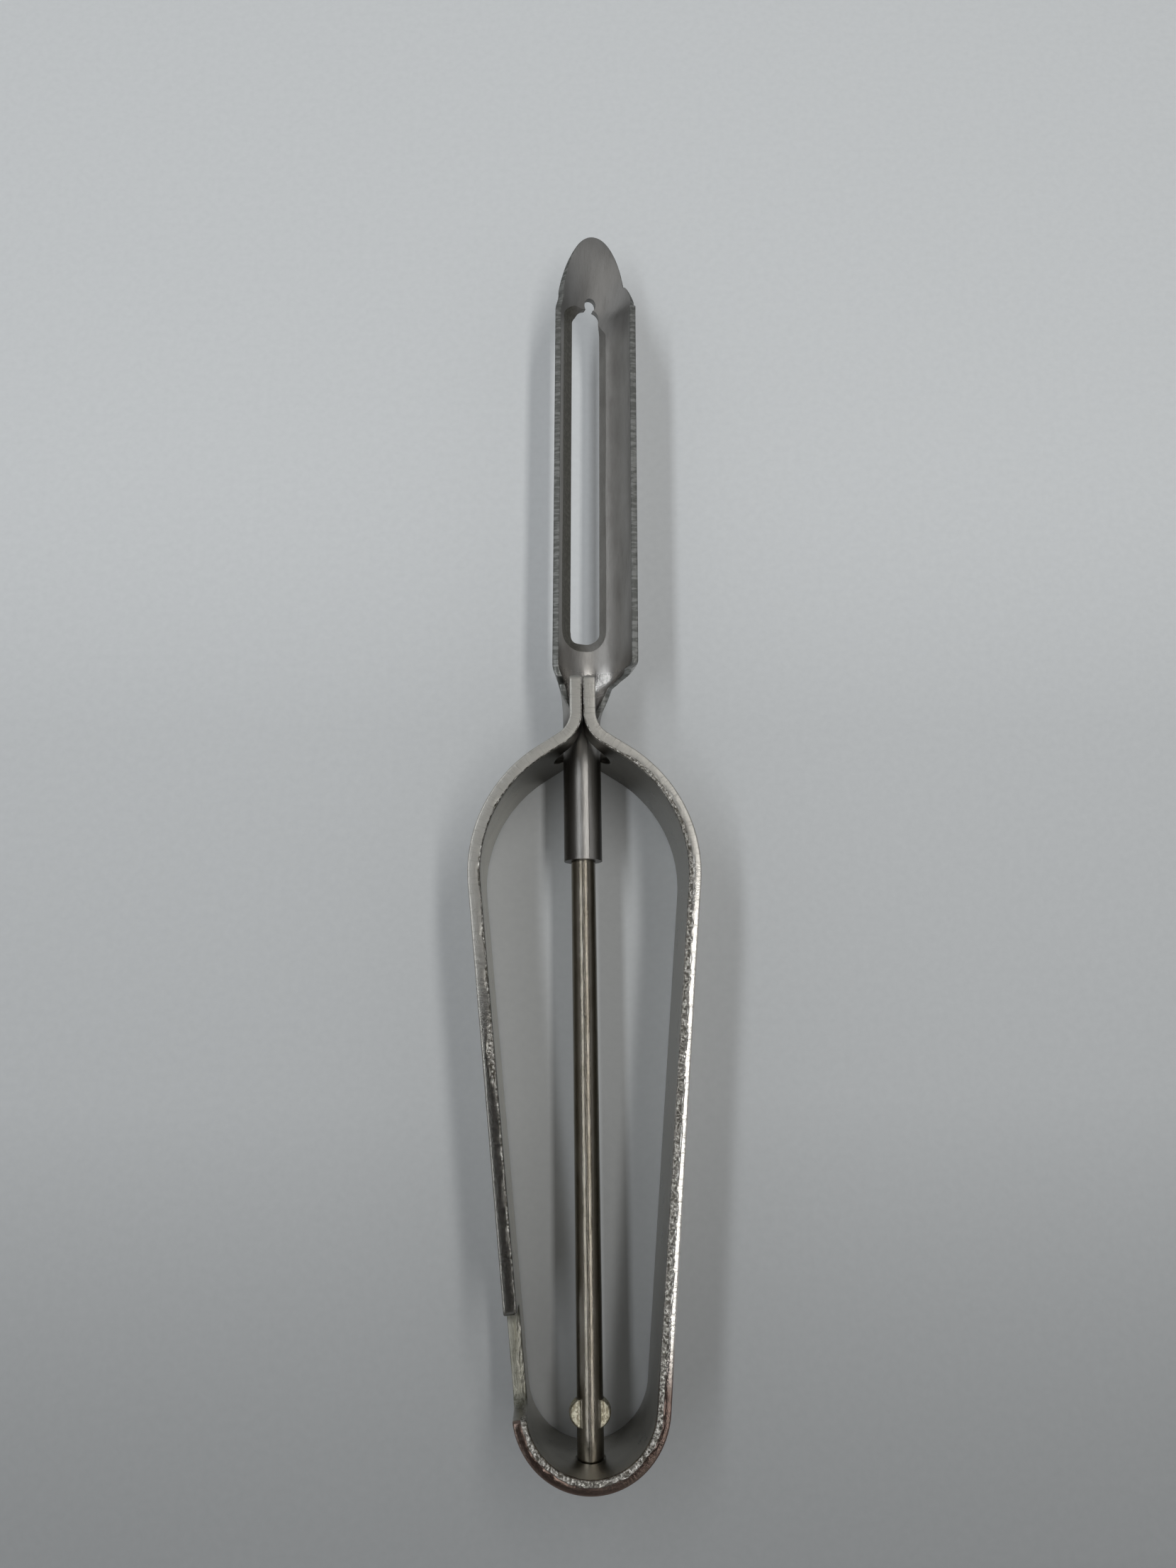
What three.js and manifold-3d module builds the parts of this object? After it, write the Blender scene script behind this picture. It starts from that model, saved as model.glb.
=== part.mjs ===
// Apple peeler corer: a bent steel strip handle, a pressed blade that swivels, and the rod it is fixed to.
// Millimetres. +Z is up off the table, +Y runs along the tool to the tip, the swivel axis is x = 0, z = AXIS_Z.
// The parts are drawn with y = 0 at the handle's end, and the whole group is then centred on y.
import * as THREE from "three";
import { mergeVertices } from "three/addons/utils/BufferGeometryUtils.js";
import Module from "manifold-3d";

const wasm = await Module();
wasm.setup();

// Handle strip
const STRIP_WIDTH = 15.9; // the strip stands on its edge
const STRIP_THICK = 1.7;
const LEG_LEAN = 5.2; // degrees the legs spread apart going up
const SHOULDER_R = 19.15; // middle of the strip
const SHOULDER_CENTRE = { x: -4.55, y: 74.5 };
const SHOULDER_END = 57; // degrees the strip has turned inwards at the end of the shoulder
const NECK_R = 4.45;
const EAR_GAP = 0.1; // between the two ears
const EAR_TOP = 101.55;
const THUMB_NOTCH = { from: 8.4, to: 19.9, depth: 7.3, corner: 2.2 };
const HOLE_R = 2.0; // base hole, around the rod
const COUNTERSINK = { r: 3.1, depth: 0.9 };

// Shared axis
const AXIS_Z = STRIP_WIDTH / 2;
const CLEARANCE = 0.3;

// Blade: one sheet, rolled to a tube at the shank and open to a trough above it
const SHEET = 0.93;
const TUBE_R = 2.17; // middle of the sheet
const TUBE_WRAP = 176; // degrees each way from the bottom, leaving a thin seam on top
const SHANK_END = 76.8;
const NECK_FROM = 96.2;
const NECK_TO = 104.4;
const TROUGH_R = 5.63;
const TROUGH_CENTRE = 5.6; // height of the trough's centre above the swivel axis
const TROUGH_WRAP = 62;
const NECK_EDGE_HEIGHT = 1.8; // the sheet's edges stay this low where the ears reach over them
const NECK_OPEN_AT = EAR_TOP + 0.15;
const NECK_EDGE_RISE = { left: 2.6, right: 1.2 }; // how steeply the two edges climb past the ears
const TIP_FROM = 160.4;
const TIP_END = 173.6;
const TIP_RIM = 2.98; // height of the point above the swivel axis
const TIP_ROUND = { along: 1.735, across: 0.486 }; // 2 and 0.5 make the rim an ellipse
const TIP_BROADER = { by: 1.116, over: 0.25 }; // the tip's rim is wider than the trough it grows out of
const TIP_FLATTEN = { along: 1.5, depth: 2.67 }; // how the bowl of the tip gets shallower
const TIP_SHIFT = { by: 0.69, over: 0.186 }; // to the right, soon after the trough ends
const FLANGE_WRAP = 46; // extra wrap of the taller wall
const FLANGE = { endFrom: 102.45, endTo: 102.85, startFrom: 160.2, dropTo: 162.6, startTo: 166.0 };
const FLANGE_STUB = 0.3; // the part of it that runs on beside the tip, from dropTo to startTo
const SLOT = { from: 108.6, to: 162.6, halfWidth: 2.35, corner: 1.7 };
const RELIEF_HOLE = { y: 163.2, r: 0.9 };
const REST_TURN = 18; // degrees the blade has swung from upright, left wall up
const BLADE_LEAN = 0.86; // degrees the trough sits off the shank, to the right

// Rod
const ROD_R = 1.68;
const ROD_TOP = 96;
const ROD_TAIL = 0.2;
const TAIL_HEAD = { r: 2.35, height: 0.5 };
const SWAGE = { y: 7.1, halfLength: 1.8, halfWidth: 2.65, halfHeight: 1.15 };

const rad = THREE.MathUtils.degToRad;
const smooth = (t) => THREE.MathUtils.smoothstep(t, 0, 1);

function solidOf(geometry) {
  const g = geometry.clone();
  g.deleteAttribute("normal");
  g.deleteAttribute("uv");
  const merged = mergeVertices(g, 1e-4);
  return new wasm.Manifold(
    new wasm.Mesh({
      numProp: 3,
      vertProperties: new Float32Array(merged.attributes.position.array),
      triVerts: new Uint32Array(merged.index.array),
    }),
  );
}

function geometryOf(solid) {
  const m = solid.getMesh();
  const g = new THREE.BufferGeometry();
  g.setAttribute("position", new THREE.BufferAttribute(m.vertProperties, 3));
  g.setIndex(new THREE.BufferAttribute(m.triVerts, 1));
  const flat = g.toNonIndexed();
  flat.computeVertexNormals();
  return flat;
}

// Right half of the strip's middle line, from the bottom of the base to the top of the ear.
function halfPath() {
  const lean = rad(LEG_LEAN);
  const turned = rad(SHOULDER_END);
  const c = SHOULDER_CENTRE;
  const legTop = new THREE.Vector2(
    c.x + SHOULDER_R * Math.cos(lean),
    c.y - SHOULDER_R * Math.sin(lean),
  );
  // The base arc touches the table-side end of the tool and runs into the leg without a kink.
  const half = STRIP_THICK / 2;
  const baseR =
    (legTop.x * Math.cos(lean) - (legTop.y - half) * Math.sin(lean)) / (1 - Math.sin(lean));
  const base = new THREE.Path().absarc(0, baseR + half, baseR, -Math.PI / 2, -lean, false);
  const shoulder = new THREE.Path().absarc(c.x, c.y, SHOULDER_R, -lean, turned, false);
  const earX = half + EAR_GAP / 2;
  const shoulderEnd = new THREE.Vector2(
    c.x + SHOULDER_R * Math.cos(turned),
    c.y + SHOULDER_R * Math.sin(turned),
  );
  const neckEndX = earX + NECK_R * (1 - Math.cos(turned));
  const rise = (shoulderEnd.x - neckEndX) / Math.tan(turned) + NECK_R * Math.sin(turned);
  const neckY = shoulderEnd.y + rise;
  const neck = new THREE.Path().absarc(
    earX + NECK_R,
    neckY,
    NECK_R,
    Math.PI + turned,
    Math.PI,
    true,
  );
  return [
    ...base.getPoints(18),
    ...shoulder.getPoints(16),
    ...neck.getPoints(9),
    new THREE.Vector2(earX, EAR_TOP),
  ];
}

function stripOutline() {
  const right = halfPath();
  const left = right.slice(1).map((p) => new THREE.Vector2(-p.x, p.y)).reverse();
  const path = [...left, ...right];
  const side = (sign) =>
    path.map((p, i) => {
      const a = path[Math.max(i - 1, 0)];
      const b = path[Math.min(i + 1, path.length - 1)];
      const along = i === 0 || i === path.length - 1
        ? new THREE.Vector2(0, i === 0 ? -1 : 1)
        : b.clone().sub(a).normalize();
      const normal = new THREE.Vector2(along.y, -along.x);
      return p.clone().addScaledVector(normal, (sign * STRIP_THICK) / 2);
    });
  return new THREE.Shape([...side(1), ...side(-1).reverse()]);
}

// A solid of rounded rectangles pushed along one axis: "x" or "z".
function prism(shape, from, to, axis) {
  const g = new THREE.ExtrudeGeometry(shape, {
    depth: to - from,
    bevelEnabled: false,
    curveSegments: 8,
  });
  g.translate(0, 0, from);
  if (axis === "x") {
    // The shape's own x and y become y and z.
    g.applyMatrix4(new THREE.Matrix4().set(0, 0, 1, 0, 1, 0, 0, 0, 0, 1, 0, 0, 0, 0, 0, 1));
  }
  return solidOf(g);
}

function roundedRect(x0, y0, x1, y1, r0, r1) {
  const s = new THREE.Shape();
  s.moveTo(x0 + r0, y0);
  s.lineTo(x1 - r0, y0);
  s.absarc(x1 - r0, y0 + r0, r0, -Math.PI / 2, 0, false);
  s.lineTo(x1, y1 - r1);
  s.absarc(x1 - r1, y1 - r1, r1, 0, Math.PI / 2, false);
  s.lineTo(x0 + r1, y1);
  s.absarc(x0 + r1, y1 - r1, r1, Math.PI / 2, Math.PI, false);
  s.lineTo(x0, y0 + r0);
  s.absarc(x0 + r0, y0 + r0, r0, Math.PI, 1.5 * Math.PI, false);
  return s;
}

// A turned solid about the swivel axis from [radius, y] points that start and end on the axis.
function turned(profile, segments) {
  const g = new THREE.LatheGeometry(
    profile.map(([r, y]) => new THREE.Vector2(r, y)),
    segments,
  );
  g.translate(0, 0, AXIS_Z);
  return solidOf(g);
}

function handleStrip() {
  const strip = prism(stripOutline(), 0, STRIP_WIDTH, "z");
  // Fork at the neck: a round-ended slot down the middle of both ears.
  const half = TUBE_R + SHEET / 2 + CLEARANCE;
  const fork = prism(
    roundedRect(EAR_TOP - 12.4, AXIS_Z - half, EAR_TOP + 4, AXIS_Z + half, half - 0.05, half - 0.05),
    -9,
    9,
    "x",
  );
  const hole = turned(
    [
      [0, -1],
      [COUNTERSINK.r, -1],
      [COUNTERSINK.r, 0],
      [HOLE_R, COUNTERSINK.depth],
      [HOLE_R, STRIP_THICK + 1],
      [0, STRIP_THICK + 1],
    ],
    36,
  );
  const n = THUMB_NOTCH;
  const notch = prism(
    roundedRect(n.from, STRIP_WIDTH - n.depth, n.to, STRIP_WIDTH + 6, n.corner, 1),
    -16,
    -5,
    "x",
  );
  return strip.subtract(fork).subtract(hole).subtract(notch);
}

// Radius, centre height and wrap angles of the sheet's cross-section at a distance y along the tool.
function bladeSection(y) {
  const { lerp, clamp } = THREE.MathUtils;
  const open = smooth((y - NECK_FROM) / (NECK_TO - NECK_FROM));
  const bend = lerp(1 / TUBE_R, 1 / TROUGH_R, open);
  const bottom = lerp(-TUBE_R, TROUGH_CENTRE - TROUGH_R, open);
  const halfSheet = lerp(TUBE_R * rad(TUBE_WRAP), TROUGH_R * rad(TROUGH_WRAP), open);
  let r = 1 / bend;
  let centre = bottom + r;
  let left = halfSheet / r;
  let right = left;
  if (open > 0) {
    const past = Math.max(y - NECK_OPEN_AT, 0);
    const lowest = (rise) => {
      const height = NECK_EDGE_HEIGHT + past * rise;
      return Math.acos(clamp((centre - height) / r, -1, 1));
    };
    left = Math.min(left, lowest(NECK_EDGE_RISE.left));
    right = Math.min(right, lowest(NECK_EDGE_RISE.right));
  }
  if (y > TIP_FROM) {
    const along = (y - TIP_FROM) / (TIP_END - TIP_FROM);
    const broader = lerp(1, TIP_BROADER.by, smooth(along / TIP_BROADER.over));
    const half =
      TROUGH_R *
      Math.sin(rad(TROUGH_WRAP)) *
      broader *
      Math.max(1 - along ** TIP_ROUND.along, 0) ** TIP_ROUND.across;
    const depth = TROUGH_R * (1 - Math.cos(rad(TROUGH_WRAP)));
    const shallower = Math.max(1 - along ** TIP_FLATTEN.along, 0) ** TIP_FLATTEN.depth;
    const sag = Math.max(depth * shallower, 0.02);
    r = (half ** 2 + sag ** 2) / (2 * sag);
    centre = lerp(TROUGH_CENTRE - TROUGH_R + depth, TIP_RIM, along) - sag + r;
    left = Math.asin(Math.min(half / r, 1));
    right = left;
  }
  const f = FLANGE;
  const start = clamp((y - f.startFrom) / (f.startTo - f.startFrom), 0, 1);
  const drop = smooth((y - f.startFrom) / (f.dropTo - f.startFrom));
  const height = FLANGE_STUB * Math.sqrt(1 - start ** 2) + (1 - FLANGE_STUB) * (1 - drop);
  const end = smooth((y - f.endFrom) / (f.endTo - f.endFrom));
  const flange = ((rad(FLANGE_WRAP) * TROUGH_R) / r) * height * end;
  return { r, centre, from: -left, to: right + flange };
}

const steps = (from, to, count) =>
  Array.from({ length: count }, (_, i) => from + ((to - from) * i) / count);

function bladeStations() {
  const tip = steps(0, 1, 11).map((t) => TIP_FROM + (TIP_END - TIP_FROM) * Math.sin((t * Math.PI) / 2));
  const flangeStart = steps(0, 1, 6).map(
    (t) => FLANGE.startFrom + (FLANGE.startTo - FLANGE.startFrom) * Math.sin((t * Math.PI) / 2),
  );
  return [
    SHANK_END,
    ...steps(NECK_FROM, NECK_OPEN_AT, 9),
    ...steps(NECK_OPEN_AT, FLANGE.endFrom, 4),
    ...steps(FLANGE.endFrom, FLANGE.endTo, 4),
    ...steps(FLANGE.endTo + 0.1, NECK_TO + 0.2, 1),
    132,
    ...tip,
    ...flangeStart,
    FLANGE.startTo,
    TIP_END - 0.01,
  ].sort((a, b) => a - b);
}

function bladeSheet() {
  const stations = bladeStations();
  const across = 36;
  const ring = 2 * (across + 1);
  const points = [];
  for (const y of stations) {
    const s = bladeSection(y);
    const loop = [];
    for (const [offset, forward] of [[SHEET / 2, true], [-SHEET / 2, false]]) {
      for (let i = 0; i <= across; i++) {
        const k = forward ? i : across - i;
        const angle = THREE.MathUtils.lerp(s.from, s.to, k / across);
        loop.push([(s.r + offset) * Math.sin(angle), y, s.centre - (s.r + offset) * Math.cos(angle)]);
      }
    }
    points.push(...loop);
  }
  const index = [];
  for (let j = 0; j + 1 < stations.length; j++) {
    for (let i = 0; i < ring; i++) {
      const a = j * ring + i;
      const b = j * ring + ((i + 1) % ring);
      index.push(a, a + ring, b, b, a + ring, b + ring);
    }
  }
  const top = (stations.length - 1) * ring;
  for (let i = 0; i < across; i++) {
    const a = i;
    const b = ring - 1 - i;
    index.push(a, a + 1, b, a + 1, b - 1, b);
    index.push(top + a, top + b, top + a + 1, top + a + 1, top + b, top + b - 1);
  }
  const g = new THREE.BufferGeometry();
  g.setAttribute("position", new THREE.Float32BufferAttribute(points.flat(), 3));
  g.setIndex(index);
  return solidOf(g);
}

function blade() {
  const slotHeight = 3;
  const slot = prism(
    roundedRect(-SLOT.halfWidth, SLOT.from, SLOT.halfWidth, SLOT.to, SLOT.corner, SLOT.halfWidth - 0.01),
    -slotHeight,
    slotHeight,
    "z",
  );
  const relief = prism(
    new THREE.Shape().absarc(0, RELIEF_HOLE.y, RELIEF_HOLE.r, 0, 2 * Math.PI, false),
    -slotHeight,
    slotHeight,
    "z",
  );
  const g = geometryOf(bladeSheet().subtract(slot).subtract(relief));
  g.rotateY(rad(REST_TURN));
  g.translate(0, 0, AXIS_Z);
  const at = g.attributes.position;
  for (let i = 0; i < at.count; i++) {
    const past = Math.max(at.getY(i) - NECK_FROM, 0);
    const tip = smooth((at.getY(i) - TIP_FROM) / (TIP_END - TIP_FROM) / TIP_SHIFT.over);
    at.setX(i, at.getX(i) + past * Math.tan(rad(BLADE_LEAN)) + tip * TIP_SHIFT.by);
  }
  g.computeVertexNormals();
  return g;
}

function pivotRod() {
  const rod = turned(
    [
      [0, ROD_TAIL],
      [TAIL_HEAD.r, ROD_TAIL],
      [ROD_R, ROD_TAIL + TAIL_HEAD.height + 0.3],
      [ROD_R, ROD_TOP],
      [0, ROD_TOP],
    ],
    36,
  );
  const wings = new THREE.SphereGeometry(1, 24, 14);
  wings.scale(SWAGE.halfWidth, SWAGE.halfLength, SWAGE.halfHeight);
  wings.translate(0, SWAGE.y, AXIS_Z);
  return geometryOf(rod.add(solidOf(wings)));
}

const root = new THREE.Group();
root.name = "apple_peeler_corer";
root.position.y = -TIP_END / 2;
const parts = [
  ["handle_strip", geometryOf(handleStrip()), 0xb9b6ae, 0.32],
  ["blade", blade(), 0x8f8d8a, 0.42],
  ["pivot_rod", pivotRod(), 0x8a8680, 0.28],
];
for (const [name, geometry, color, roughness] of parts) {
  const material = new THREE.MeshStandardMaterial({ color, roughness, metalness: 1 });
  const mesh = new THREE.Mesh(geometry, material);
  mesh.name = name;
  root.add(mesh);
}

export default root;
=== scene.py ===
"""Looks of the apple peeler corer: a bent strip handle, a pressed swivel blade and its rod.

Lengths are millimetres until mesh_object() turns them into metres. Drawings have y = 0 at the handle's end.
"""

import math

import bpy
import numpy as np
from mathutils import Matrix, Vector
from mathutils.geometry import delaunay_2d_cdt


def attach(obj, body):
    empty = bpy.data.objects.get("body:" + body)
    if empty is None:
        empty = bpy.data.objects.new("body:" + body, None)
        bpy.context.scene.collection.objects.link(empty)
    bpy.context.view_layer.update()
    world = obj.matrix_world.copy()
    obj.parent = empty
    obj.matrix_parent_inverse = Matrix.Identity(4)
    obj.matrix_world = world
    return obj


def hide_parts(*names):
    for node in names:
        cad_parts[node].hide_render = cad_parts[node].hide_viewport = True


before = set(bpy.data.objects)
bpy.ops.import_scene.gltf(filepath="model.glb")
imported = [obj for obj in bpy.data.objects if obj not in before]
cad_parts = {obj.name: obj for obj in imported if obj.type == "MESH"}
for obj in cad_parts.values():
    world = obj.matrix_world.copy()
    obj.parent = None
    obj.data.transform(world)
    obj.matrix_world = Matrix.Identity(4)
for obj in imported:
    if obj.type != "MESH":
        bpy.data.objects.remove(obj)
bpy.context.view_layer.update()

TOOL_LENGTH = 173.6
AXIS_Z = 7.95

# ---------------------------------------------------------------- noise


def value_noise(x, seed, period=1.0):
    """Smooth noise in -1..1 along x."""
    t = np.asarray(x, float) / period
    cell = np.floor(t).astype(int)
    f = t - cell
    f = f * f * (3 - 2 * f)
    table = np.random.default_rng(seed).uniform(-1, 1, 4096)
    return table[cell % 4096] * (1 - f) + table[(cell + 1) % 4096] * f


def smooth(t):
    t = np.clip(t, 0, 1)
    return t * t * (3 - 2 * t)


# ---------------------------------------------------------------- meshes


def fans(faces):
    """Every face as triangles, for sums over the surface."""
    return np.array([(f[0], f[k], f[k + 1]) for f in faces for k in range(1, len(f) - 1)])


def mesh_object(name, points, faces, dev, mark=None):
    """points are mm in the drawing; dev is each point's place on the flat blank, kept for the materials,
    and mark tells them how its surface was made."""
    at = np.array(points, float)
    at[:, 1] -= TOOL_LENGTH / 2
    mesh = bpy.data.meshes.new(name)
    mesh.from_pydata((at * 0.001).tolist(), [], [tuple(int(i) for i in f) for f in faces])
    mesh.update()
    flat = mesh.attributes.new("dev", "FLOAT_VECTOR", "POINT")
    flat.data.foreach_set("vector", np.asarray(dev, np.float32).reshape(-1))
    made = mesh.attributes.new("mark", "FLOAT", "POINT")
    made.data.foreach_set("value", np.asarray(np.zeros(len(at)) if mark is None else mark, np.float32))
    for p in mesh.polygons:
        p.use_smooth = True
    # Area-weighted normals keep the wide faces flat beside their narrow rounded edges.
    tris = fans(faces)
    a, b, c = (at[tris[:, k]] for k in range(3))
    area = np.cross(b - a, c - a)
    normals = np.zeros((len(at), 3))
    for k in range(3):
        np.add.at(normals, tris[:, k], area)
    normals /= np.maximum(np.linalg.norm(normals, axis=1), 1e-12)[:, None]
    mesh.normals_split_custom_set_from_vertices(normals.tolist())
    mesh.validate()
    obj = bpy.data.objects.new(name, mesh)
    bpy.context.scene.collection.objects.link(obj)
    return obj


def resample(points, spacing):
    """Evenly spaced points along a closed polyline; corners stay where segments are long."""
    out = []
    n = len(points)
    for i in range(n):
        a, b = points[i], points[(i + 1) % n]
        steps = max(1, int(round(np.linalg.norm(b - a) / spacing)))
        for k in range(steps):
            out.append(a + (b - a) * k / steps)
    return np.array(out)


def arc(cx, cy, r, a0, a1, steps):
    """Points of an arc, angles in degrees."""
    a = np.radians(np.linspace(a0, a1, steps))
    return [np.array([cx + r * math.cos(t), cy + r * math.sin(t)]) for t in a]


def loop_normals(loop):
    """Unit vectors from the edge into the material: outer loops run anticlockwise, holes clockwise."""
    d = np.roll(loop, -1, 0) - np.roll(loop, 1, 0)
    d /= np.maximum(np.linalg.norm(d, axis=1), 1e-12)[:, None]
    return np.stack([-d[:, 1], d[:, 0]], 1)


def room_for_inset(loop):
    """How far each point may move into the material before it meets its neighbours round a corner."""
    back, ahead = loop - np.roll(loop, 1, 0), np.roll(loop, -1, 0) - loop
    length = np.linalg.norm(ahead, axis=1)
    turn = np.arctan2(
        back[:, 0] * ahead[:, 1] - back[:, 1] * ahead[:, 0], (back * ahead).sum(1)
    )
    span = (length + np.roll(length, 1)) / 2
    limit = np.where(turn > 0.01, 0.72 * span / np.maximum(turn, 0.01), 1e3)
    for _ in range(2):
        for i in range(len(loop)):
            limit[i] = min(limit[i], limit[i - 1] + 0.7 * length[i - 1])
        for i in range(len(loop) - 1, -1, -1):
            j = (i + 1) % len(loop)
            limit[i] = min(limit[i], limit[j] + 0.7 * length[i])
    return limit


def inside(points, loops):
    """Even-odd test of points against closed loops."""
    hit = np.zeros(len(points), bool)
    for loop in loops:
        a, b = loop, np.roll(loop, -1, 0)
        for (x0, y0), (x1, y1) in zip(a, b):
            if y0 == y1:
                continue
            cross = ((points[:, 1] >= y0) != (points[:, 1] >= y1)) & (
                points[:, 0] < (x1 - x0) * (points[:, 1] - y0) / (y1 - y0) + x0
            )
            hit ^= cross
    return hit


def fill(loops, step):
    """Triangles between an outer loop and its holes, with extra points on a grid.

    Returns the points, the triangles, and how many of the points are on the loops.
    """
    border = np.concatenate(loops)
    lo, hi = border.min(0), border.max(0)
    gx = np.arange(lo[0] + step[0] / 2, hi[0], step[0])
    gy = np.arange(lo[1] + step[1] / 2, hi[1], step[1])
    grid = np.array([(x, y) for x in gx for y in gy])
    grid = grid[inside(grid, loops)]
    near = np.full(len(grid), 1e9)
    for k in range(0, len(border), 400):
        part = border[k : k + 400]
        gap = np.hypot(
            (grid[:, None, 0] - part[None, :, 0]), (grid[:, None, 1] - part[None, :, 1])
        ).min(1)
        near = np.minimum(near, gap)
    grid = grid[near > 0.35 * min(step)]
    verts = [Vector(p) for p in border] + [Vector(p) for p in grid]
    edges, start = [], 0
    for loop in loops:
        n = len(loop)
        edges += [(start + i, start + (i + 1) % n) for i in range(n)]
        start += n
    out, _, tris, origin, _, _ = delaunay_2d_cdt(verts, edges, [], 0, 1e-7)
    if len(out) != len(verts):
        raise RuntimeError("the blank's outline touches itself")
    flat = np.array([tuple(p) for p in out])
    tris = np.array([t for t in tris])
    keep = inside(flat[tris].mean(1), loops)
    # CDT gives the input points back in its own order.
    order = np.array([o[0] for o in origin])
    source = np.concatenate([border, grid])
    return source, [tuple(order[list(t)]) for t in tris[keep]], len(border)


def plate(name, loops, rims, place, step):
    """A sheet with shaped rims.

    rims[i] is an array (ring, point, 3) of (inset, height, mark) for loop i, from the upper face (+height)
    to the lower one; place maps (u, v, height) of the flat blank to space.
    """
    flat, mark, faces = [], [], []
    ring_sets = []
    count = 0
    for loop, rim in zip(loops, rims):
        n, room = loop_normals(loop), room_for_inset(loop)
        rings = []
        for ring in rim:
            p = loop + n * np.minimum(ring[:, 0], room)[:, None]
            flat.append(np.column_stack([p, ring[:, 1]]))
            mark.append(ring[:, 2])
            rings.append(np.arange(count, count + len(loop)))
            count += len(loop)
        for a, b in zip(rings, rings[1:]):
            a2, b2 = np.roll(a, -1), np.roll(b, -1)
            faces += list(zip(a, b, b2, a2))
        ring_sets.append(rings)
    for top in (True, False):
        k = 0 if top else -1
        borders = [flat_ring(flat, rings[k]) for rings in ring_sets]
        index = np.concatenate([rings[k] for rings in ring_sets])
        pts, tris, n_border = fill([b[:, :2] for b in borders], step)
        height = borders[0][0, 2]
        extra = pts[n_border:]
        flat.append(np.column_stack([extra, np.full(len(extra), height)]))
        mark.append(np.zeros(len(extra)))
        index = np.concatenate([index, np.arange(count, count + len(extra))])
        count += len(extra)
        for t in tris:
            a, b, c = (index[i] for i in t)
            p, q, r = pts[t[0]], pts[t[1]], pts[t[2]]
            turn = (q[0] - p[0]) * (r[1] - p[1]) - (q[1] - p[1]) * (r[0] - p[0])
            faces.append((a, b, c) if (turn > 0) == top else (a, c, b))
    flat = np.concatenate(flat)
    points = place(flat[:, 0], flat[:, 1], flat[:, 2])
    # Make every face point outwards, whichever way the map turns the blank.
    a, b, c = (points[fans(faces)[:, k]] for k in range(3))
    if np.einsum("ij,ij->", a, np.cross(b, c)) < 0:
        faces = [f[::-1] for f in faces]
    return mesh_object(name, points, faces, flat, np.concatenate(mark))


def rim_rows(rows, like):
    """Rows of (inset, height, mark), each a number or an array along the loop, as one array."""
    return np.array([np.column_stack([a + 0 * like, b + 0 * like, c + 0 * like]) for a, b, c in rows])


def flat_ring(blocks, ring):
    """The points of one ring, found by its running numbers in the list of blocks."""
    start = 0
    for b in blocks:
        if ring[0] < start + len(b):
            return b[ring[0] - start : ring[0] - start + len(ring)]
        start += len(b)
    raise IndexError("no such ring")


# ---------------------------------------------------------------- handle strip

WIDTH = 15.9
THICK = 1.7
LEG_LEAN = math.radians(5.2)
SHOULDER_R, SHOULDER_C, SHOULDER_END = 19.15, (-4.55, 74.5), math.radians(57)
NECK_R = 4.45
EAR_GAP = 0.1
EAR_TOP = 101.55
FORK_HALF, FORK_DEPTH = 2.935, 11.3
EAR_CORNER, FORK_CORNER = 0.7, 0.4
NOTCH_FROM, NOTCH_TO, NOTCH_DEPTH, NOTCH_CORNER, NOTCH_SOFT = 8.4, 19.9, 7.3, 2.2, 0.7
EDGE_SPACING = 0.22  # between the points of the strip's outline, fine enough for its torn edge
HOLE_R, SINK_R, SINK_DEPTH = 2.0, 3.1, 0.9


def handle_path():
    """Right half of the strip's middle line, as points close together."""
    half = THICK / 2
    top = np.array(
        [
            SHOULDER_C[0] + SHOULDER_R * math.cos(LEG_LEAN),
            SHOULDER_C[1] - SHOULDER_R * math.sin(LEG_LEAN),
        ]
    )
    base_r = (top[0] * math.cos(LEG_LEAN) - (top[1] - half) * math.sin(LEG_LEAN)) / (1 - math.sin(LEG_LEAN))
    lean = math.degrees(LEG_LEAN)
    turned = math.degrees(SHOULDER_END)
    ear_x = half + EAR_GAP / 2
    end = np.array(
        [
            SHOULDER_C[0] + SHOULDER_R * math.cos(SHOULDER_END),
            SHOULDER_C[1] + SHOULDER_R * math.sin(SHOULDER_END),
        ]
    )
    neck_end_x = ear_x + NECK_R * (1 - math.cos(SHOULDER_END))
    neck_y = end[1] + (end[0] - neck_end_x) / math.tan(SHOULDER_END) + NECK_R * math.sin(SHOULDER_END)
    pts = (
        arc(0, base_r + half, base_r, -90, -lean, 60)
        + arc(*SHOULDER_C, SHOULDER_R, -lean, turned, 60)
        + arc(ear_x + NECK_R, neck_y, NECK_R, 180 + turned, 180, 30)
        + [np.array([ear_x, EAR_TOP])]
    )
    path = np.array(pts)
    keep = np.r_[True, np.linalg.norm(np.diff(path, axis=0), axis=1) > 1e-6]
    return path[keep]


PATH = handle_path()
PATH_S = np.r_[0, np.cumsum(np.linalg.norm(np.diff(PATH, axis=0), axis=1))]
PATH_END = PATH_S[-1]
PATH_N = np.gradient(PATH, PATH_S, axis=0)
PATH_N[0], PATH_N[-1] = (1, 0), (0, 1)
PATH_N = np.stack([PATH_N[:, 1], -PATH_N[:, 0]], 1)
PATH_N /= np.linalg.norm(PATH_N, axis=1)[:, None]


def handle_place(s, z, h):
    side = np.where(s < 0, -1.0, 1.0)
    q = np.clip(np.abs(s), 0, PATH_END)
    x = np.interp(q, PATH_S, PATH[:, 0])
    y = np.interp(q, PATH_S, PATH[:, 1])
    nx = np.interp(q, PATH_S, PATH_N[:, 0])
    ny = np.interp(q, PATH_S, PATH_N[:, 1])
    return np.column_stack([side * (x + h * nx), y + h * ny, z])


def s_at_leg(y):
    """Distance along the strip at which the leg reaches that y."""
    return float(np.interp(y, PATH[:, 1], PATH_S))


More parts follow.
